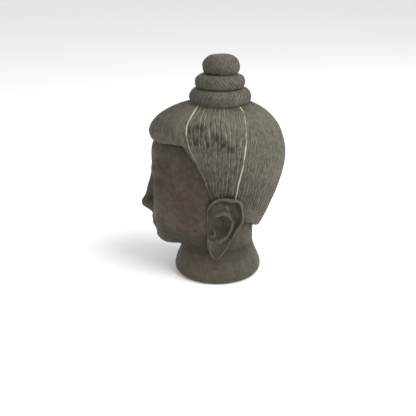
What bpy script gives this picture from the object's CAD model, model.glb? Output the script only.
"""A Buddha head carved from one block of dark stone, with combed hair, a roped topknot and long ears."""

import math

import bmesh
import bpy
import numpy as np
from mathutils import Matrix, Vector, kdtree, noise


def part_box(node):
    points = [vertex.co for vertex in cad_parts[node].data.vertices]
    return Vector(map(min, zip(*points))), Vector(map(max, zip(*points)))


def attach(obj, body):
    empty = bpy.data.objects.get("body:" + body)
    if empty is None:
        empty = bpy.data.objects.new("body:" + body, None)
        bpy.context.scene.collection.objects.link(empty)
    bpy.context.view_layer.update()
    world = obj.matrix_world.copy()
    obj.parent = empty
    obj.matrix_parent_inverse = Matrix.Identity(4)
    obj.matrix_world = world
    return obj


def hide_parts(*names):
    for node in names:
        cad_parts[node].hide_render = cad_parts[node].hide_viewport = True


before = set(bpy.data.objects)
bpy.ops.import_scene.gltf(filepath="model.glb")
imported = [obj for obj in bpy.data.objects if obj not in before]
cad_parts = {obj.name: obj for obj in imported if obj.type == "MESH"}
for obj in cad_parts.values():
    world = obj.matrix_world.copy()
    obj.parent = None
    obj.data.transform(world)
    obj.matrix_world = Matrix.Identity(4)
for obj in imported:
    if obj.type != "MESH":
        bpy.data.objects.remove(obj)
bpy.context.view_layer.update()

# ---- Driving sizes, in millimetres in the row's frame ----
MM = 0.001
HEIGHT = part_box("buddha_head")[1][2] / MM
CHIN = 38.0
SKULL_TOP = 212.0
FACE_WIDTH = 116.0
FOREHEAD = -83.0
FOOT_RADIUS = 56.0
FOOT_ROLL = 8.0
WAIST_RADIUS = 45.5
WAIST_LEVEL = 44.0
HAIR_FRONT = 88.2
HAIR_SIDE = 69.6
HAIR_BACK = 81.6
HAIR_CROWN = 228.0
CROWN_Y = 2.4
NAPE = 60.0
RING_RADII = (37.4, 30.8, 22.3)
RING_LEVELS = (222.0, 241.0, 258.0, HEIGHT)
RING_CREASES = (35.0, 27.5, 18.6, 9.0)

HEAD = SKULL_TOP - CHIN
EYE = CHIN + 0.5 * HEAD
BROW = EYE + 0.085 * HEAD
NOSE = CHIN + 0.27 * HEAD
MOUTH = CHIN + 0.185 * HEAD
EYE_ASIDE = FACE_WIDTH / 5

chance = np.random.default_rng(11)


# ---- Small tools ----
def smoothstep(x, low, high):
    t = np.clip((x - low) / (high - low), 0, 1)
    return t * t * (3 - 2 * t)


def lerp(a, b, share):
    return a + (b - a) * share


def blend(a, b, soft):
    h = np.maximum(soft - np.abs(a - b), 0) / soft
    return np.minimum(a, b) - h * h * soft / 4


def carve(a, b, soft):
    return -blend(-a, b, soft)


def egg(p, centre, radii):
    q = (p - np.array(centre)) / np.array(radii)
    near = np.linalg.norm(q, axis=1)
    steep = np.linalg.norm(q / np.array(radii), axis=1)
    return near * (near - 1) / np.maximum(steep, 1e-9)


def bead(p, points):
    """Distance to a bead of changing thickness through points that are each (x, y, z, radius)."""
    distance = None
    for a, b in zip(points, points[1:]):
        start, run = np.array(a[:3]), np.array(b[:3]) - np.array(a[:3])
        share = np.clip((p - start) @ run / (run @ run), 0, 1)
        gap = np.linalg.norm(p - start - share[:, None] * run, axis=1) - lerp(a[3], b[3], share)
        distance = gap if distance is None else np.minimum(distance, gap)
    return distance


def wander(points, size, seed):
    """Smooth noise between about -1 and 1 at points in millimetres, with lumps of that size."""
    shift = Vector((seed * 17.3, seed * 5.1, seed * 9.7))
    return np.array([noise.noise(Vector(p) / size + shift) for p in points])


# ---- The head without its hair and ears, as a distance ----
def neck_radius(z):
    flare = lerp(FOOT_RADIUS, WAIST_RADIUS, smoothstep(z, FOOT_ROLL, WAIST_LEVEL))
    below = np.maximum(FOOT_ROLL - z, 0)
    roll = FOOT_RADIUS - FOOT_ROLL + np.sqrt(np.maximum(FOOT_ROLL**2 - below**2, 0))
    return np.where(z < FOOT_ROLL, roll, flare)


def skull(p):
    d = egg(p, (0, 0, SKULL_TOP - 62), (61, 77, 62))
    d = blend(d, egg(p, (0, FOREHEAD + 57, 162), (54, 57, 46)), 14)
    d = blend(d, egg(p, (0, FOREHEAD + 56, 116), (FACE_WIDTH / 2, 56, 60)), 16)
    d = blend(d, egg(p, (0, -30, CHIN + 42), (46, 47, 42)), 18)
    d = blend(d, egg(p, (33, -12, CHIN + 38), (15, 26, 25)), 16)
    d = blend(d, egg(p, (29, -57, 97), (20, 18, 22)), 20)
    d = blend(d, egg(p, (0, -64, MOUTH + 2), (27, 17, 20)), 18)
    return blend(d, egg(p, (0, -61, CHIN + 15.5), (18, 17, 14)), 15)


def add_brow(d, p):
    """A bowed ridge from the nose's root to the temple, with a hollow for the eye below it."""
    ridge = [
        (5, -76.0, BROW - 5.5, 2.2),
        (10, -78.4, BROW - 0.5, 2.6),
        (17, -78.4, BROW + 3.0, 2.8),
        (25, -75.2, BROW + 4.4, 2.8),
        (34, -68.8, BROW + 3.4, 2.4),
        (42, -60.4, BROW - 0.2, 1.8),
        (51, -46.0, BROW - 7.5, 1.0),
    ]
    d = blend(d, bead(p, ridge), 9)
    return carve(d, egg(p, (EYE_ASIDE - 0.5, -89.5, EYE + 1.0), (18.5, 11, 10.5)), 5)


def add_nose(d, p):
    bridge = [
        (0, -75.5, BROW + 1, 4.2),
        (0, -80.0, EYE + 5, 4.2),
        (0, -84.6, EYE - 9, 5.0),
        (0, -88.6, NOSE + 12, 6.0),
    ]
    d = blend(d, bead(p, bridge), 7)
    d = blend(d, egg(p, (0, -90.0, NOSE + 7.5), (8.2, 8.2, 7.2)), 6)
    d = blend(d, egg(p, (9.2, -82.6, NOSE + 6.2), (5.6, 8.6, 6.2)), 6)
    return carve(d, egg(p, (4.8, -87.4, NOSE - 1.2), (2.5, 4.2, 3.2)), 2)


def add_eye(d, p):
    """A full upper lid lowered over the eye, with a thin slit and a soft lower lid."""
    ball = egg(p, (EYE_ASIDE, -65.8, EYE - 1.5), (16.0, 13.2, 11.0))
    across = (p[:, 0] - EYE_ASIDE) / 12.5
    lid_edge = EYE - 6.6 + 3.6 * across**2 + 0.9 * across - 0.5 * across**3
    drop = p[:, 2] - lid_edge
    almond = (np.hypot(across / 1.16, (p[:, 2] - EYE + 2.4) / 8.6) - 1) * 7
    d = blend(d, ball, 3.5)
    d = blend(d, np.maximum(np.maximum(ball - 1.4, -drop), almond * 0.4), 1.2)
    lower_lid = np.maximum(np.abs(drop + 1.9) - 0.7, ball - 0.8)
    d = blend(d, np.maximum(lower_lid, almond), 1.6)
    slit = np.maximum(np.maximum(np.abs(drop + 0.45) - 0.45, -(ball + 0.9)), almond)
    return carve(d, slit, 0.8)


def add_mouth(d, p):
    upper = [
        (0.0, -80.9, MOUTH + 3.2, 3.0),
        (3.5, -81.6, MOUTH + 4.2, 3.3),
        (9, -80.3, MOUTH + 3.8, 3.0),
        (14, -77.9, MOUTH + 3.0, 2.6),
        (19, -73.2, MOUTH + 2.4, 1.4),
    ]
    lower = [
        (0, -80.2, MOUTH - 4.4, 4.4),
        (6, -79.5, MOUTH - 4.0, 4.2),
        (12, -77.3, MOUTH - 2.4, 3.3),
        (18, -72.4, MOUTH + 0.4, 1.8),
    ]
    parting = [
        (0, -85.1, MOUTH + 0.1, 0.9),
        (3.5, -85.1, MOUTH - 0.3, 0.9),
        (9, -84.0, MOUTH + 0.3, 0.9),
        (14, -82.1, MOUTH + 0.9, 0.9),
        (17.5, -80.6, MOUTH + 1.9, 0.9),
    ]
    d = carve(d, bead(p, [(0, -86.4, MOUTH + 13, 1.0), (0, -86.5, MOUTH + 8.5, 1.5)]), 3.0)
    d = blend(d, bead(p, upper), 2.2)
    d = blend(d, bead(p, lower), 2.4)
    d = carve(d, bead(p, parting), 1.6)
    d = carve(d, egg(p, (18.2, -82.3, MOUTH + 2.2), (2.4, 2.6, 2.6)), 5)
    return carve(d, egg(p, (0, -84.6, MOUTH - 12.5), (12, 4.4, 3.4)), 8)


def bare_head(points):
    p = np.column_stack((np.abs(points[:, 0]), points[:, 1], points[:, 2]))
    d = add_mouth(add_eye(add_nose(add_brow(skull(p), p), p), p), p)
    neck = (np.hypot(p[:, 0], p[:, 1]) - neck_radius(p[:, 2])) * 0.9
    return np.maximum(blend(d, np.maximum(neck, p[:, 2] - 95), 7), -p[:, 2])


def slope(surface, p, step=0.2):
    """The direction in which the distance to a surface grows fastest, and how fast."""
    axes = np.eye(3) * step
    grown = np.column_stack([surface(p + a) - surface(p - a) for a in axes]) / (2 * step)
    rate = np.linalg.norm(grown, axis=1, keepdims=True)
    return grown / np.maximum(rate, 1e-6), np.maximum(rate[:, 0], 0.3)


# ---- Closed nets ----
def net(name, columns, rows, place):
    """A closed mesh: a round net whose points are moved by place(column, row)."""
    bm = bmesh.new()
    bmesh.ops.create_uvsphere(bm, u_segments=columns, v_segments=rows, radius=1)
    unit = np.array([v.co for v in bm.verts])
    turn = np.arctan2(unit[:, 0], -unit[:, 1]) / (2 * math.pi)
    column = np.round(turn * columns).astype(int) % columns
    row = np.round(np.arccos(np.clip(unit[:, 2], -1, 1)) / math.pi * rows).astype(int)
    column[(row == 0) | (row == rows)] = 0
    points, traits = place(column, row)
    for vert, point in zip(bm.verts, points):
        vert.co = point
    bmesh.ops.recalc_face_normals(bm, faces=bm.faces)
    mesh = bpy.data.meshes.new(name)
    bm.to_mesh(mesh)
    bm.free()
    return mesh, points, traits


# ---- Bare head ----
HEART = np.array((0.0, 0.0, 112.0))
# The rays' tilt from straight up, at even steps of the rows: close over the face and the neck.
RAY_TILTS = (
    0, 45, 56, 62, 68, 74, 80, 86, 92, 98, 104, 110, 116, 122, 128, 134, 139, 143.5, 148, 152.5, 156.6, 180,
)
HEAD_COLUMNS, HEAD_ROWS = 264, 156


def head_rays(column, row):
    angle = column / HEAD_COLUMNS * 2 * math.pi
    turned = angle - 0.5 * np.sin(angle)
    steps = np.linspace(0, HEAD_ROWS, len(RAY_TILTS))
    tilt = np.radians(np.interp(row, steps, RAY_TILTS))
    return np.column_stack((np.sin(tilt) * np.sin(turned), -np.sin(tilt) * np.cos(turned), np.cos(tilt)))


def head_place(column, row):
    """Follows each ray from outside the head in to its surface."""
    rays = head_rays(column, row)
    length = np.full(len(rays), 150.0)
    for _ in range(60):
        length -= 0.6 * bare_head(HEART + rays * length[:, None])
    points = HEART + rays * length[:, None]
    return points, {}


def points_of(mesh):
    points = np.empty(len(mesh.vertices) * 3)
    mesh.vertices.foreach_get("co", points)
    return points.reshape(-1, 3)


def neighbour_means(mesh):
    """A function that gives, for values at a mesh's points, each point's mean over its neighbours."""
    edges = np.empty(len(mesh.edges) * 2, dtype=np.int32)
    mesh.edges.foreach_get("vertices", edges)
    a, b = edges.reshape(-1, 2).T
    size = len(mesh.vertices)
    count = np.bincount(edges, minlength=size)

    def means(values):
        total = [np.bincount(a, v[b], size) + np.bincount(b, v[a], size) for v in values.T]
        return np.column_stack(total) / count[:, None]

    return means


def settle(mesh, surface, rounds):
    """Evens out a mesh's squares while its points stay on a surface."""
    points = points_of(mesh)
    means = neighbour_means(mesh)
    for _ in range(rounds):
        pull = (means(points) - points) * 0.5
        normal, rate = slope(surface, points)
        points += pull - normal * np.sum(pull * normal, axis=1, keepdims=True)
        points -= normal * (surface(points) / rate)[:, None]
    points[:, 2] = np.maximum(points[:, 2], 0)
    mesh.vertices.foreach_set("co", points.ravel())
    return points


# ---- Hair ----
PLAN_POWER = 2.15  # 2 would make its plan an ellipse
DOME_POWER = 2.3  # and 2 here its dome
NAPE_DROP = 0.41  # how much narrower it is at the nape
# Guide strands, front to back: the height of the end, then the angle about the crown at each level.
FLOW_LEVELS = (228, 221.5, 213, 203, 182, 160, 140, 118, 90, 58)
STRANDS = (
    (179, 0, 0, 0, 0, 0, 0, 0, 0, 0, 0),
    (182, 11, 18, 22, 25.5, 32, 37, 41, 43, 44, 44),
    (181.5, 20, 30.5, 36, 40, 49.5, 57, 62, 65, 66, 66),
    (169, 25, 36.5, 42, 46, 54.5, 63, 69, 72, 73, 73),
    (161, 29, 41.5, 46.5, 50, 57.5, 66, 72.5, 76, 77, 77),
    (121, 32, 45, 50.5, 53.5, 60, 68, 74.5, 78.5, 80, 80),
    (108, 58, 66.5, 69, 70.5, 74, 76.5, 78.5, 81, 83, 83),
    (103, 84, 86, 87, 87.5, 89, 88.5, 88, 87.5, 88, 88),
    (99, 110, 107, 104, 103, 102, 100.5, 98.5, 97, 97, 97),
    (94, 136, 129, 122, 119, 114.6, 111, 109, 107.5, 107, 107),
    (79, 157, 149, 144, 140, 136, 133.5, 131.5, 130.5, 130, 130),
    (69, 170, 166, 162, 160, 157, 156, 155, 155, 155, 155),
    (60, 180, 180, 180, 180, 180, 180, 180, 180, 180, 180),
)
WIDEST = 1 + FLOW_LEVELS.index(182)
FORELOCK, PANEL, REAR = 13, 11, 20  # strands a side in front of the first pale line, between the two, behind
STRAND_MARKS = (0, FORELOCK, FORELOCK + PANEL, FORELOCK + PANEL + REAR)
STRAND_ANGLES = (0, 60, 114.6, 180)  # of those marks at the widest level
ACROSS = (0, 0.09, 0.25, 0.5, 0.75, 0.91)  # where a strand's points lie between its two cuts
LAST = STRAND_MARKS[-1]
HALF = LAST * len(ACROSS)
HAIR_ROWS = 80
LIP_ROWS = 6
HAIR_START = 226.0


def hair_radius(angle, z):
    """The hair's smooth shape: how far it stands from the crown's axis."""
    ahead = np.cos(angle)
    reach = np.where(ahead > 0, HAIR_FRONT, HAIR_BACK)
    total = np.abs(ahead / reach) ** PLAN_POWER + np.abs(np.sin(angle) / HAIR_SIDE) ** PLAN_POWER
    widest = total ** (-1 / PLAN_POWER)
    level = 166 + np.where(ahead > 0, 22, -10) * ahead**2
    up = np.clip((z - level) / (HAIR_CROWN - level), 0, 1)
    down = np.maximum((level - z) / (level - NAPE), 0)
    power = DOME_POWER - 0.42 * np.maximum(ahead, 0) ** 2
    dome = widest * (1 - up**power) ** (1 / power)
    return np.where(z > level, dome, widest * (1 - NAPE_DROP * down**1.5))


def smooth_through(marks, values, at):
    """A smooth curve through values (columns) at falling marks, read at each row's own places."""
    marks = -np.array(marks, dtype=float)
    rise = np.gradient(values, marks, axis=1)
    step = np.clip(np.searchsorted(marks, -at, side="right") - 1, 0, len(marks) - 2)
    rows = np.arange(len(values))[:, None] if at.ndim > 1 else np.arange(len(values))
    width = marks[step + 1] - marks[step]
    t = np.clip((-at - marks[step]) / width, 0, 1)
    a, b = values[rows, step], values[rows, step + 1]
    a_rise, b_rise = rise[rows, step] * width, rise[rows, step + 1] * width
    return (a * (1 + 2 * t) + a_rise * t) * (1 - t) ** 2 + (b * (3 - 2 * t) - b_rise * (1 - t)) * t**2


def flow_angle(place, z):
    """The angle about the crown at which a strand, counted from the front, passes a height."""
    guides = np.array(STRANDS, dtype=float)
    widest = np.interp(place, STRAND_MARKS, STRAND_ANGLES)
    flow = np.column_stack([np.interp(widest, guides[:, WIDEST], level) for level in guides[:, 1:].T])
    return np.radians(smooth_through(FLOW_LEVELS, flow, z))


def strand_end(place):
    guides = np.array(STRANDS, dtype=float)
    return np.interp(np.interp(place, STRAND_MARKS, STRAND_ANGLES), guides[:, WIDEST], guides[:, 0])


def hand_values(low, high):
    """A value for each cut on each side of the head, as a hand makes them: never quite even."""
    values = chance.uniform(low, high, (2, LAST + 1))
    values[1, [0, LAST]] = values[0, [0, LAST]]
    return values


ASIDE = hand_values(-0.16, 0.16)  # off the even place, in strands
ASIDE[:, list(STRAND_MARKS)] = 0
PHASE = hand_values(0, 1.1) + np.arange(LAST + 1) * 0.3  # of its waver
DEPTH = hand_values(0.75, 1.2)
LATE = hand_values(0, 1) ** 3 * 26  # how far below the topknot it starts
FADE = hand_values(-7, 7)  # how much higher than its neighbours it shows, on the worn back
TONE = hand_values(-1, 1)  # how light the stone is beside it


def between_cuts(values, side, place):
    """A value given for each cut, read at places counted in strands on one side."""
    cut = np.minimum(np.floor(place).astype(int), LAST - 1)
    which = np.where(side > 0, 0, 1)
    return lerp(values[which, cut], values[which, cut + 1], place - cut)


def stray(side, place, along):
    """How far a cut wanders from its true place, in strands."""
    phase = between_cuts(PHASE, side, place) * 2 * math.pi
    waves = ((70, 0.09, 1.0), (31, 0.055, 2.3), (16, 0.03, 4.1))
    total = sum(size * np.sin(along / length * 2 * math.pi + phase * turn) for length, size, turn in waves)
    ends = np.clip(np.minimum(place, LAST - place), 0, 1)
    return (between_cuts(ASIDE, side, place) + total * smoothstep(along, 4, 26)) * ends


def hair_place(column, row):
    """Columns run down the strands, five between each two cuts, and the last rows are the underside."""
    side = np.where(column <= HALF, 1, -1)
    index = np.where(side > 0, column, 2 * HALF - column)
    place = np.minimum(index // len(ACROSS) + np.array(ACROSS)[index % len(ACROSS)], LAST)
    cut = (index % len(ACROSS)) == 0
    flank = np.isin(index % len(ACROSS), (1, len(ACROSS) - 1))
    end = strand_end(place)
    # even steps down each strand
    body_rows = HAIR_ROWS - LIP_ROWS - 1
    shares = 1 - np.cos(np.linspace(0, math.pi / 2, 200)) ** 1.25
    steps_z = HAIR_START + (end[:, None] - HAIR_START) * shares
    steps_angle = flow_angle(place, steps_z)
    steps_radius = hair_radius(steps_angle, steps_z)
    x, y = steps_radius * np.sin(steps_angle), -steps_radius * np.cos(steps_angle)
    run = np.sqrt(np.diff(x, axis=1) ** 2 + np.diff(y, axis=1) ** 2 + np.diff(steps_z, axis=1) ** 2)
    run = np.concatenate((np.zeros((len(run), 1)), np.cumsum(run, axis=1)), axis=1)
    along = np.clip((row - 1) / (body_rows - 1), 0, 1) * run[:, -1]
    left = run[:, -1] - along
    z = np.array([np.interp(a, r, level) for a, r, level in zip(along, run, steps_z)])
    # where the strand passes, with the hand's wander and the comb's sweep at the forelock's edge
    before, after = np.maximum(place - 0.5, 0), np.minimum(place + 0.5, LAST)
    pitch = (flow_angle(after, z) - flow_angle(before, z)) / (after - before)
    fore = smoothstep(FORELOCK - place, 0, 4)
    sweep = math.radians(9) * fore * smoothstep(place, 0, 3) * smoothstep(left, 17, 0)
    angle = flow_angle(place, z) + stray(side, place, along) * pitch + sweep
    radius = hair_radius(angle, z)
    spacing = pitch * radius
    # the rolled edge
    lip, inset = lerp(4.4, 9.0, fore), lerp(2.4, 3.5, fore)
    roll = 1 - np.minimum(left / lip, 1)
    radius = radius - inset * (1 - np.sqrt(1 - roll**2))
    # the cuts: short and deep at the forelock's edge, long beside the pale lines, worn away behind
    shown = smoothstep(along, between_cuts(LATE, side, place), between_cuts(LATE, side, place) + 14)
    shown = shown * smoothstep(spacing, 1.0, 2.8)
    short = 0.16 + 0.84 * smoothstep(left, 19, 10)
    shown = shown * np.where(place < FORELOCK, short, 1)
    behind = place - STRAND_MARKS[2]
    worn_from = lerp(212, 174, smoothstep(behind, 0, 12)) + between_cuts(FADE, side, place)
    worn = 0.22 + 0.78 * smoothstep(worn_from - z, -4, 12)
    shown = shown * np.where(behind > 0, worn, 1)
    line = np.isin(index // len(ACROSS), STRAND_MARKS[1:3]) & cut
    beside = np.isin(np.round(place), STRAND_MARKS[1:3]) & flank
    shown = np.where(line, 0.8, shown)
    under = row > body_rows
    shown = np.where(under, 0, shown)
    depth = 0.95 * between_cuts(DEPTH, side, place) * (0.85 + 0.15 * np.sin(along / 9 + place * 5))
    crown = np.sin((place - np.floor(place)) * math.pi) ** 2 * 0.3
    radius = radius + (crown - np.where(cut, depth, 0)) * shown
    # the plain underside, in to the skin
    inner = (row - body_rows) / LIP_ROWS
    radius = np.where(under, radius - 1.2 - 9 * inner, radius)
    z = np.where(under, z + 0.5 + 1.6 * inner, z)
    points = np.column_stack((radius * np.sin(angle) * side, CROWN_Y - radius * np.cos(angle), z))
    points[row == 0] = (0, CROWN_Y, 227)
    points[row == HAIR_ROWS] = (0, 0, 150)
    front_line = 1 - 0.5 * smoothstep(along, 46, 84)
    dim_middle = smoothstep(along, 16, 34) * smoothstep(along, 76, 50)
    rear_line = 1 - 0.4 * dim_middle - 0.3 * smoothstep(left, 22, 6)
    bright = np.where(np.round(place) == FORELOCK, front_line, rear_line)
    return points, {
        "cut": np.where(cut, shown, 0.0),
        "flank": np.where(cut, 1.0, np.where(flank, 0.8, 0.0)) * shown,
        "pale_line": (line * 1.0 + beside * 0.8) * bright * ~under,
        "hair": np.ones(len(points)),
        "tone": 0.5 + 0.5 * between_cuts(TONE, side, place),
        "strand": place * 1.0,
        "along": along,
    }


# ---- Topknot ----
KNOT_ROWS = 16
FLUTE = 4.7  # from cut to cut round a rope
FLUTE_ACROSS = (0, 0.14, 0.5, 0.86)
RING_SHIFTS = (0.0, -0.6, 1.0)  # each rope's centre, back from the crown's


def ring_place(ring):
    """The columns of one rope of the topknot, and the function that places its points."""
    flutes = round(2 * math.pi * RING_RADII[ring] / FLUTE)
    points_each = len(FLUTE_ACROSS)
    foot, head = RING_LEVELS[ring], RING_LEVELS[ring + 1]
    slant = -1 if ring == 1 else 1
    aside = chance.uniform(-0.14, 0.14, flutes + 1)
    depths = chance.uniform(0.45, 1.0, flutes + 1)
    aside[-1], depths[-1] = aside[0], depths[0]
    phases = chance.uniform(0, 2 * math.pi, 4)

    def place(column, row):
        flute = column // points_each
        across = np.array(FLUTE_ACROSS)[column % points_each]
        lift = 90 - 180 * (row - 1) / (KNOT_ROWS - 2)  # round the rope, from its top to its foot
        rise = np.radians(lift)
        out = np.maximum(np.cos(rise), 0)
        inner = np.where(lift > 0, RING_CREASES[ring + 1], RING_CREASES[ring])
        edge = np.where(lift > 0, head, foot)
        shift = lerp(aside[flute], aside[flute + 1], across)
        angle = (flute + across + shift) / flutes * 2 * math.pi
        lumps = 0.45 * np.sin(2 * angle + phases[0]) + 0.35 * np.sin(5 * angle + phases[1])
        lumps = lumps + 0.25 * np.sin(11 * angle + phases[2])
        radius = lerp(inner, RING_RADII[ring] + lumps, out)
        z = lerp(lerp(foot, head, 0.42), edge, np.abs(np.sin(rise)))
        z = z + 0.5 * np.sin(3 * angle + phases[3]) * out
        angle = angle + slant * lift / 90 * (head - foot) * 0.62 / RING_RADII[ring]
        cut = column % points_each == 0
        shown = out * lerp(depths[flute], depths[flute + 1], across)
        radius = radius - np.where(cut, 0.9, 0) * shown + np.sin(across * math.pi) ** 2 * 0.35 * shown
        middle = CROWN_Y + RING_SHIFTS[ring]
        points = np.column_stack((radius * np.sin(angle), middle - radius * np.cos(angle), z))
        points[row == 0] = (0, middle, head)
        points[row == KNOT_ROWS] = (0, middle, foot - 8)
        points[row == 1, 2] -= 0.4  # a slightly domed top
        beside = np.isin(column % points_each, (1, points_each - 1))
        flank = np.where(cut, 1.0, np.where(beside, 0.55, 0.0)) * np.minimum(shown * 1.3, 1)
        return points, {"cut": np.where(cut, shown, 0.0), "flank": flank, "knot": np.ones(len(points))}

    return flutes * points_each, place


# ---- Ears ----
EAR_COLUMNS, EAR_ROWS = 120, 44
EAR_FACE_ROWS = 34  # of those rows, the ones on the outer side
EAR_HEART = np.array((6.0, 86.0))
EAR_OUTLINE = [
    (-14.5, 90), (-13.5, 106), (-6, 116), (5, 120), (17, 119), (26.5, 117), (30, 104), (30, 90),
    (23.5, 77), (15, 58), (8, 43), (-3, 29), (-9.5, 38), (-13.5, 51), (-14.5, 70),
]
# The folded ridge inside the ear, from the front round to the pit.
EAR_RIDGE = ((-1, 95), (6.5, 98.5), (12.6, 96), (17.5, 87.5), (15.3, 76), (9.4, 65.7), (0.9, 59.8))


def loop_through(points, share):
    """Points on a smooth closed curve through the given ones."""
    points = np.array(points, dtype=float)
    place = np.mod(share, 1) * len(points)
    step = np.floor(place).astype(int)
    t = (place - step)[:, None]
    a, b, c, d = (points[(step + k) % len(points)] for k in (-1, 0, 1, 2))
    return 0.5 * (2 * b + (c - a) * t + (2 * a - 5 * b + 4 * c - d) * t**2 + (3 * b - a - 3 * c + d) * t**3)


def ear_lean(y, z):
    """How far out the ear's plane stands: more at its back edge, and down on to the cheek in front."""
    out = 48.6 + 17.4 * smoothstep(z, 20, 116)
    out = out + 0.15 * (y - 6) * smoothstep(z, 44, 84)
    return out - 5.5 * smoothstep(y, -2, -14.5) * smoothstep(z, 58, 70) * smoothstep(z, 108, 96)


def ear_relief(y, z, reach):
    """The carving of the ear's outer side: a thin rim, a dish, a folded ridge, a pit and its curl."""
    flat = np.column_stack((np.zeros_like(y), y, z))
    fade = smoothstep(z, 50, 80)
    depth = -(5.2 * smoothstep(reach, 0.93, 0.78) + 2.4 * smoothstep(reach, 0.8, 0.2)) * fade
    inside = smoothstep(reach, 0.95, 0.8)
    ridge = bead(flat, [(0, *spot, 0) for spot in EAR_RIDGE])
    depth = depth + 4.6 * np.exp(-((ridge / 2.7) ** 2)) * inside
    branch = bead(flat, [(0, 13, 96, 0), (0, 10, 108, 0)])
    depth = depth + 1.8 * np.exp(-((branch / 2.6) ** 2)) * inside
    bowl = egg(flat, (0, 2.5, 81), (9, 9, 12))
    depth = depth - 1.6 * smoothstep(-bowl, -2, 5)
    curl = np.hypot(y + 8.2, z - 69.5)
    depth = depth + 2.6 * np.exp(-(((curl - 4.1) / 1.4) ** 2)) - 2.4 * np.exp(-((curl / 1.9) ** 2))
    return depth - 1.4 * smoothstep(reach, 0.955, 1.0) + 0.7 * np.exp(-(((reach - 0.94) / 0.035) ** 2))


def ear_place(column, row):
    rim = loop_through(EAR_OUTLINE, column / EAR_COLUMNS)
    outer = row <= EAR_FACE_ROWS
    back = np.maximum(row - EAR_FACE_ROWS, 0) / (EAR_ROWS - EAR_FACE_ROWS)
    reach = np.where(outer, (row / EAR_FACE_ROWS) ** 0.75, 1 - 0.42 * back**0.7)
    flat = EAR_HEART + (rim - EAR_HEART) * reach[:, None]
    y, z = flat[:, 0], flat[:, 1]
    x = ear_lean(y, z) + np.where(outer, ear_relief(y, z, reach), -1.4 - 28 * back**1.3)
    points = np.column_stack((x, y, z))
    points[row == EAR_ROWS] = (30, *EAR_HEART)
    return points, {"ear": np.ones(len(points))}


# ---- The pieces joined into one carving ----
def new_object(mesh):
    obj = bpy.data.objects.new(mesh.name, mesh)
    bpy.context.scene.collection.objects.link(obj)
    return obj


def union(whole, part):
    joint = whole.modifiers.new("union", "BOOLEAN")
    joint.operation = "UNION"
    joint.solver = "MANIFOLD"
    joint.object = part
    bpy.context.view_layer.update()
    joined = bpy.data.meshes.new_from_object(whole.evaluated_get(bpy.context.evaluated_depsgraph_get()))
    whole.modifiers.clear()
    whole.data = joined
    bpy.data.objects.remove(part)


def mirror_mesh(mesh, name):
    other = mesh.copy()
    other.name = name
    bm = bmesh.new()
    bm.from_mesh(other)
    bmesh.ops.scale(bm, vec=(-1, 1, 1), verts=bm.verts)
    bmesh.ops.reverse_faces(bm, faces=bm.faces)
    bm.to_mesh(other)
    bm.free()
    return other


def carve_head():
    """Makes the nets and unites them, and keeps each net's points with their values."""
    head_mesh, _, _ = net("carved_head", HEAD_COLUMNS, HEAD_ROWS, head_place)
    sources = [(settle(head_mesh, bare_head, 6), {})]
    nets = [("hair", 2 * HALF, HAIR_ROWS, hair_place)]
    for ring in range(len(RING_RADII)):
        columns, place = ring_place(ring)
        nets.append((f"rope_{ring}", columns, KNOT_ROWS, place))
    nets.append(("ear_left", EAR_COLUMNS, EAR_ROWS, ear_place))
    meshes = []
    for name, columns, rows, place in nets:
        mesh, points, traits = net(name, columns, rows, place)
        meshes.append(mesh)
        sources.append((points, traits))
    meshes.append(mirror_mesh(meshes[-1], "ear_right"))
    sources.append((points * (-1, 1, 1), traits))
    whole = new_object(head_mesh)
    for mesh in meshes:
        union(whole, new_object(mesh))
    return whole, sources


TRAITS = ("cut", "flank", "pale_line", "hair", "knot", "ear", "tone", "strand", "along")


def give_traits(obj, sources):
    """Copies each source net's values to the joined mesh, and marks the seams between the nets."""
    mesh = obj.data
    total = sum(len(points) for points, _ in sources)
    tree = kdtree.KDTree(total)
    values = {name: np.zeros(total) for name in TRAITS}
    index = 0
    for points, traits in sources:
        for name, numbers in traits.items():
            values[name][index:index + len(points)] = numbers
        for point in points:
            tree.insert(point, index)
            index += 1
    tree.balance()
    found = [tree.find(v.co) for v in mesh.vertices]
    nearest = np.array([f[1] for f in found])
    away = np.array([f[2] for f in found])
    for name in TRAITS:
        layer = mesh.attributes.new(name, "FLOAT", "POINT")
        layer.data.foreach_set("value", values[name][nearest])
    return away > 0.01


def soften_seams(obj, seam):
    """Rounds the creases where the nets meet."""
    bm = bmesh.new()
    bm.from_mesh(obj.data)
    bm.verts.ensure_lookup_table()
    near = {bm.verts[i] for i in np.flatnonzero(seam)}
    for _ in range(2):
        near |= {e.other_vert(v) for v in near for e in v.link_edges}
    near = [v for v in near if v.co.z > 1]
    for _ in range(4):
        bmesh.ops.smooth_vert(bm, verts=near, factor=0.5, use_axis_x=True, use_axis_y=True, use_axis_z=True)
    bm.to_mesh(obj.data)
    bm.free()


# Blots on the +X side, each (x, y, z, radius), in millimetres.
RUST_BLOTS = (
    (57.6, -22.0, 203.8, 6.5), (63.8, -27.7, 189.9, 5.5), (64.9, -4.6, 193.8, 6.5), (67.6, 3.5, 186.2, 6),
    (68.5, 12.7, 180.5, 4.5), (57.1, -33.6, 201.3, 5), (66.5, -14.5, 186, 4.5), (66.6, -17, 196, 5),
)
RED_BLOTS = (
    (35.7, -73.5, 196.1, 3.2), (16.4, -80.8, 201.4, 3.0), (50, -6, 38, 7), (60, -8, 52, 6), (67, -6, 108, 6),
    (44, -60, 92, 14), (52, -34, 70, 16), (26, -78, 168, 12), (66, -30, 128, 10),
)


def blots(points, spots):
    """How strongly the spots show at each point, from 0 to 1."""
    mask = np.zeros(len(points))
    for *centre, radius in spots:
        mask = np.maximum(mask, np.exp(-((np.linalg.norm(points - centre, axis=1) / radius) ** 2)))
    return mask


def vertex_values(mesh, name, values):
    """Keeps a value for each point of the mesh, for the stone to read."""
    mesh.attributes.new(name, "FLOAT", "POINT").data.foreach_set("value", values)


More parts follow.
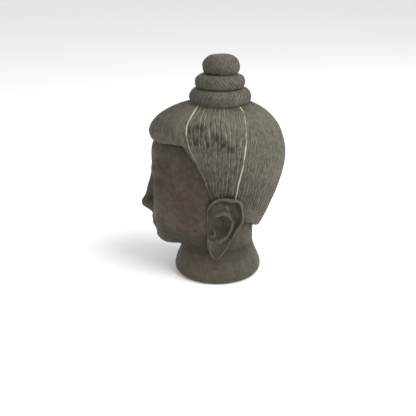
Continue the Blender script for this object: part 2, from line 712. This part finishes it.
def weather(obj):
    """Marks hollows, edges, blots and tooled places, and makes the surface as uneven as handwork."""
    mesh = obj.data
    points = points_of(mesh)
    normals = np.array([v.vector for v in mesh.vertex_normals])
    means = neighbour_means(mesh)
    smooth = points
    for _ in range(24):
        smooth = means(smooth)
    dent = np.sum((smooth - points) * normals, axis=1)
    vertex_values(mesh, "hollow", np.clip(dent / 1.1, 0, 1))
    vertex_values(mesh, "edge", np.clip(-dent / 0.9, 0, 1))
    vertex_values(mesh, "rust", np.clip(blots(points, RUST_BLOTS) * 1.5, 0, 1))
    vertex_values(mesh, "reddish", blots(points, RED_BLOTS) * 0.8)
    vertex_values(mesh, "tooled", 1 - smoothstep(points[:, 2], 38, 60))
    uneven = 0.34 * wander(points, 17, 1) + 0.16 * wander(points, 6, 2)
    keep = smoothstep(points[:, 2], 0.5, 4) * smoothstep(HEIGHT - points[:, 2], 0, 4)
    face = smoothstep(np.linalg.norm((points - (0, -84, 108)) / (30, 30, 46), axis=1), 0.7, 1.4)
    points += normals * (uneven * keep * lerp(0.35, 1, face))[:, None]
    mesh.vertices.foreach_set("co", points.ravel())
    mesh.update()


def finish_mesh(obj):
    bm = bmesh.new()
    bm.from_mesh(obj.data)
    bmesh.ops.remove_doubles(bm, verts=bm.verts, dist=0.05)
    bmesh.ops.scale(bm, vec=(MM, MM, MM), verts=bm.verts)
    for face in bm.faces:
        face.smooth = True
    obj.data.materials.clear()
    for face in bm.faces:
        face.material_index = 0
    bm.to_mesh(obj.data)
    bm.free()


carved_head, sources = carve_head()
seam = give_traits(carved_head, sources)
soften_seams(carved_head, seam)
weather(carved_head)
finish_mesh(carved_head)
carved_head.name = "carved_head"

# ---- Stone ----
STONE = (0.042, 0.034, 0.022)
STONE_BROWN = (0.046, 0.032, 0.021)
STONE_GREEN = (0.041, 0.039, 0.025)
STONE_PURPLE = (0.038, 0.029, 0.025)
KNOT_STONE = (0.037, 0.031, 0.028)
PANEL_STONE = (0.022, 0.016, 0.010)
CROWN_STONE = (0.066, 0.061, 0.043)
WORN = (0.098, 0.092, 0.068)
DUST = (0.180, 0.165, 0.128)
PALE_VEIN = (0.40, 0.365, 0.28)
RUST = (0.017, 0.010, 0.002)
DARK = (0.010, 0.008, 0.005)
REDDISH = (0.058, 0.033, 0.023)


class Shading:
    """Short ways to add and join the nodes of one material or node group."""

    def __init__(self, tree):
        self.tree = tree

    def node(self, kind, **settings):
        node = self.tree.nodes.new(kind)
        for name, value in settings.items():
            setattr(node, name, value)
        return node

    def feed(self, socket, value):
        if isinstance(value, bpy.types.NodeSocket):
            self.tree.links.new(value, socket)
        else:
            socket.default_value = value

    def math(self, operation, a, b=0.0, clamp=False):
        node = self.node("ShaderNodeMath", operation=operation, use_clamp=clamp)
        self.feed(node.inputs[0], a)
        self.feed(node.inputs[1], b)
        return node.outputs[0]

    def ramp(self, value, low, high, to_low=0.0, to_high=1.0):
        node = self.node("ShaderNodeMapRange", interpolation_type="SMOOTHSTEP")
        for name, number in (("Value", value), ("From Min", low), ("From Max", high)):
            self.feed(node.inputs[name], number)
        self.feed(node.inputs["To Min"], to_low)
        self.feed(node.inputs["To Max"], to_high)
        return node.outputs["Result"]

    def noise(self, vector, scale, detail=3.0, roughness=0.55):
        node = self.node("ShaderNodeTexNoise")
        self.feed(node.inputs["Vector"], vector)
        node.inputs["Scale"].default_value = scale
        node.inputs["Detail"].default_value = detail
        node.inputs["Roughness"].default_value = roughness
        return node.outputs["Fac"]

    def paint(self, share, under, over, kind="MIX"):
        node = self.node("ShaderNodeMix", data_type="RGBA", blend_type=kind)
        self.feed(node.inputs["Factor"], share)
        for name, value in (("A", under), ("B", over)):
            socket = next(s for s in node.inputs if s.name == name and s.type == "RGBA")
            self.feed(socket, value if isinstance(value, bpy.types.NodeSocket) else (*value, 1))
        return next(s for s in node.outputs if s.type == "RGBA")

    def trait(self, name):
        return self.node("ShaderNodeAttribute", attribute_name=name).outputs["Fac"]

    def stretched(self, vector, scale):
        node = self.node("ShaderNodeMapping")
        self.feed(node.inputs["Vector"], vector)
        node.inputs["Scale"].default_value = scale
        return node.outputs["Vector"]


def group(name, inputs, outputs, build):
    """A node group with named sockets, each given as (name, type, default)."""
    tree = bpy.data.node_groups.new(name, "ShaderNodeTree")
    for label, kind, value in inputs:
        socket = tree.interface.new_socket(name=label, in_out="INPUT", socket_type=f"NodeSocket{kind}")
        if value is not None:
            socket.default_value = value
    for label, kind in outputs:
        tree.interface.new_socket(name=label, in_out="OUTPUT", socket_type=f"NodeSocket{kind}")
    way = Shading(tree)
    given = way.node("NodeGroupInput").outputs
    result = way.node("NodeGroupOutput")
    for label, value in build(way, given).items():
        way.feed(result.inputs[label], value)
    return tree


def stone_mottle():
    """Cloudy tone of worn stone: broad patches, small blotches and fine specks."""

    def build(way, given):
        where = given["Vector"]
        broad = way.noise(where, 26, 3)
        small = way.noise(where, 170, 4, 0.65)
        speck = way.noise(where, 850, 2, 0.7)
        tone = way.math("ADD", way.math("MULTIPLY", broad, 0.45), way.math("MULTIPLY", small, 0.4))
        tone = way.math("ADD", tone, way.math("MULTIPLY", speck, 0.15))
        grain = way.math("ADD", way.math("MULTIPLY", small, 0.45), way.math("MULTIPLY", speck, 0.55))
        return {"Tone": way.ramp(tone, 0.38, 0.62), "Grain": grain}

    outputs = [("Tone", "Float"), ("Grain", "Float")]
    return group("stone_mottle", [("Vector", "Vector", None)], outputs, build)


def strand_streaks():
    """Fine streaks that run with the hair."""

    def build(way, given):
        flow = way.node("ShaderNodeCombineXYZ")
        way.feed(flow.inputs["X"], way.math("MULTIPLY", given["Strand"], 3.1))
        way.feed(flow.inputs["Y"], way.math("MULTIPLY", given["Along"], 0.07))
        fine = way.noise(flow.outputs[0], 1.6, 4, 0.7)
        return {"Streak": way.ramp(fine, 0.36, 0.66)}

    inputs = [("Strand", "Float", 0.0), ("Along", "Float", 0.0)]
    return group("strand_streaks", inputs, [("Streak", "Float")], build)


def stone_material():
    material = bpy.data.materials.new("carved_stone")
    material.use_nodes = True
    way = Shading(material.node_tree)
    shader = material.node_tree.nodes["Principled BSDF"]
    where = way.node("ShaderNodeTexCoord").outputs["Object"]
    mottle = way.node("ShaderNodeGroup", node_tree=stone_mottle())
    way.feed(mottle.inputs["Vector"], where)
    tone, grain = mottle.outputs["Tone"], mottle.outputs["Grain"]
    streaks = way.node("ShaderNodeGroup", node_tree=strand_streaks())
    strand = way.trait("strand")
    way.feed(streaks.inputs["Strand"], strand)
    way.feed(streaks.inputs["Along"], way.trait("along"))
    streak = streaks.outputs["Streak"]
    cut, knot, hair = way.trait("cut"), way.trait("knot"), way.trait("hair")
    hollow, edge = way.trait("hollow"), way.trait("edge")

    # the stone's own colours, in clouds
    split = way.node("ShaderNodeSeparateXYZ")
    way.feed(split.inputs[0], where)
    to_back = way.ramp(split.outputs["Y"], -0.045, 0.04)
    colour = way.paint(to_back, STONE_BROWN, STONE_GREEN)
    colour = way.paint(way.ramp(way.noise(where, 34, 3), 0.42, 0.62, 0, 0.8), colour, STONE)
    clouds = way.noise(way.stretched(where, (1, 1.3, 0.7)), 61, 3)
    colour = way.paint(way.ramp(clouds, 0.48, 0.66, 0, 0.7), colour, STONE_PURPLE)
    colour = way.paint(knot, colour, KNOT_STONE)
    between = way.math("MULTIPLY", way.ramp(strand, 12.5, 13.5), way.ramp(strand, 27, 23.5))
    colour = way.paint(way.math("MULTIPLY", between, 0.75), colour, PANEL_STONE)
    upper = way.math("MULTIPLY", way.ramp(split.outputs["Z"], 0.190, 0.214), way.math("SUBTRACT", 1.0, knot))
    colour = way.paint(way.math("MULTIPLY", upper, 0.6), colour, CROWN_STONE)
    colour = way.paint(way.math("MULTIPLY", way.trait("reddish"), way.ramp(tone, 0.2, 0.7)), colour, REDDISH)

    # lighter and darker strands, streaks and blotches
    band = way.math("MULTIPLY", hair, way.math("SUBTRACT", way.trait("tone"), 0.5))
    band = way.math("ADD", way.math("MULTIPLY", band, 0.34), way.ramp(tone, 0, 1, 0.78, 1.22))
    stroke = way.math("MULTIPLY", hair, way.ramp(streak, 0, 1, -0.16, 0.16))
    shade = way.math("ADD", band, stroke)
    shades = way.node("ShaderNodeCombineColor")
    for channel in shades.inputs[:3]:
        way.feed(channel, shade)
    colour = way.paint(1.0, colour, shades.outputs[0], "MULTIPLY")

    # worn edges, dirty hollows, small pits
    chipped = way.ramp(way.noise(where, 210, 3), 0.35, 0.6, 0.35, 1.0)
    dressed = way.math("MAXIMUM", way.math("MAXIMUM", hair, knot), way.trait("ear"))
    worn = way.math("MULTIPLY", way.ramp(edge, 0.12, 0.75, 0, 0.8), way.ramp(dressed, 0, 1, 0.15, 1.0))
    colour = way.paint(way.math("MULTIPLY", worn, chipped), colour, WORN)
    deep = way.math("MULTIPLY", way.ramp(hollow, 0.15, 1.0, 0, 0.55), way.ramp(hair, 0, 1, 1.0, 0.3))
    colour = way.paint(deep, colour, DARK)
    pits = way.ramp(way.noise(where, 330, 1), 0.72, 0.78, 0, 0.75)
    colour = way.paint(pits, colour, DARK)

    # the cuts: a dark side and a thin dusty line
    flank = way.trait("flank")
    colour = way.paint(way.ramp(flank, 0.02, 0.5, 0, 0.8), colour, DARK)
    broken = way.ramp(way.noise(where, 120, 4, 0.7), 0.34, 0.6, 0.35, 1.0)
    dusty = way.math("MAXIMUM", way.ramp(cut, 0.1, 0.4), way.ramp(flank, 0.5, 0.8))
    dusty = way.math("MULTIPLY", way.math("MULTIPLY", dusty, broken), 0.9)
    colour = way.paint(dusty, colour, DUST)

    # rust-black blots
    flecks = way.noise(way.stretched(where, (1, 1, 0.45)), 420, 4, 0.75)
    blot = way.math("MULTIPLY", way.trait("rust"), way.ramp(flecks, 0.40, 0.48))
    blot = way.math("MULTIPLY", blot, way.ramp(dusty, 0, 1, 1.0, 0.35))
    darker = way.paint(way.ramp(way.noise(where, 700, 2), 0.4, 0.6), RUST, DARK)
    colour = way.paint(blot, colour, darker)

    # the two pale lines
    patchy = way.ramp(way.noise(where, 75, 4), 0.36, 0.52, 0.55, 1.0)
    vein = way.math("MULTIPLY", way.trait("pale_line"), patchy)
    colour = way.paint(way.ramp(vein, 0.12, 0.8), colour, PALE_VEIN)

    way.feed(shader.inputs["Base Color"], colour)
    way.feed(shader.inputs["Roughness"], way.ramp(tone, 0, 1, 0.72, 0.55))
    shader.inputs["Specular IOR Level"].default_value = 0.28
    tooled = way.noise(way.stretched(where, (24, 24, 420)), 1.0, 3, 0.6)
    height = way.math("ADD", grain, way.math("MULTIPLY", tooled, way.trait("tooled")))
    height = way.math("ADD", height, way.math("MULTIPLY", way.math("MULTIPLY", streak, hair), 0.45))
    bump = way.node("ShaderNodeBump")
    bump.inputs["Strength"].default_value = 0.45
    bump.inputs["Distance"].default_value = 0.0006
    way.feed(bump.inputs["Height"], height)
    way.feed(shader.inputs["Normal"], bump.outputs["Normal"])
    return material


carved_head.data.materials.append(stone_material())
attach(carved_head, "root")
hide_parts("buddha_head")

# ---- Floor, light and camera ----
def pale_floor():
    bm = bmesh.new()
    bmesh.ops.create_grid(bm, x_segments=1, y_segments=1, size=30)
    mesh = bpy.data.meshes.new("floor")
    bm.to_mesh(mesh)
    bm.free()
    floor = new_object(mesh)
    material = bpy.data.materials.new("pale_floor")
    material.use_nodes = True
    material.node_tree.nodes["Principled BSDF"].inputs["Base Color"].default_value = (0.9, 0.9, 0.89, 1)
    material.node_tree.nodes["Principled BSDF"].inputs["Roughness"].default_value = 0.9
    mesh.materials.append(material)


def soft_light(name, place, aim, size, power):
    light = bpy.data.lights.new(name, "AREA")
    light.size = size
    light.energy = power
    lamp = bpy.data.objects.new(name, light)
    lamp.location = place
    lamp.rotation_euler = (Vector(aim) - Vector(place)).to_track_quat("-Z", "Y").to_euler()
    bpy.context.scene.collection.objects.link(lamp)


def studio():
    soft_light("key_light", (0.7, 1.1, 1.5), (0, 0, 0.14), 1.6, 48)
    soft_light("fill_light", (1.4, -0.9, 0.9), (0, 0, 0.14), 1.4, 3)
    world = bpy.data.worlds.new("studio")
    world.use_nodes = True
    world.node_tree.nodes["Background"].inputs["Color"].default_value = (1, 1, 1, 1)
    world.node_tree.nodes["Background"].inputs["Strength"].default_value = 0.85
    bpy.context.scene.world = world
    bpy.context.scene.view_settings.view_transform = "Standard"


def camera():
    lens = bpy.data.cameras.new("camera")
    lens.lens = 59.7
    lens.sensor_width = 36
    eye = bpy.data.objects.new("camera", lens)
    eye.location = (0.840, -0.0127, 0.392)
    eye.rotation_euler = (math.pi / 2 - math.atan(0.3667), 0, math.pi / 2)
    bpy.context.scene.collection.objects.link(eye)
    bpy.context.scene.camera = eye


pale_floor()
studio()
camera()
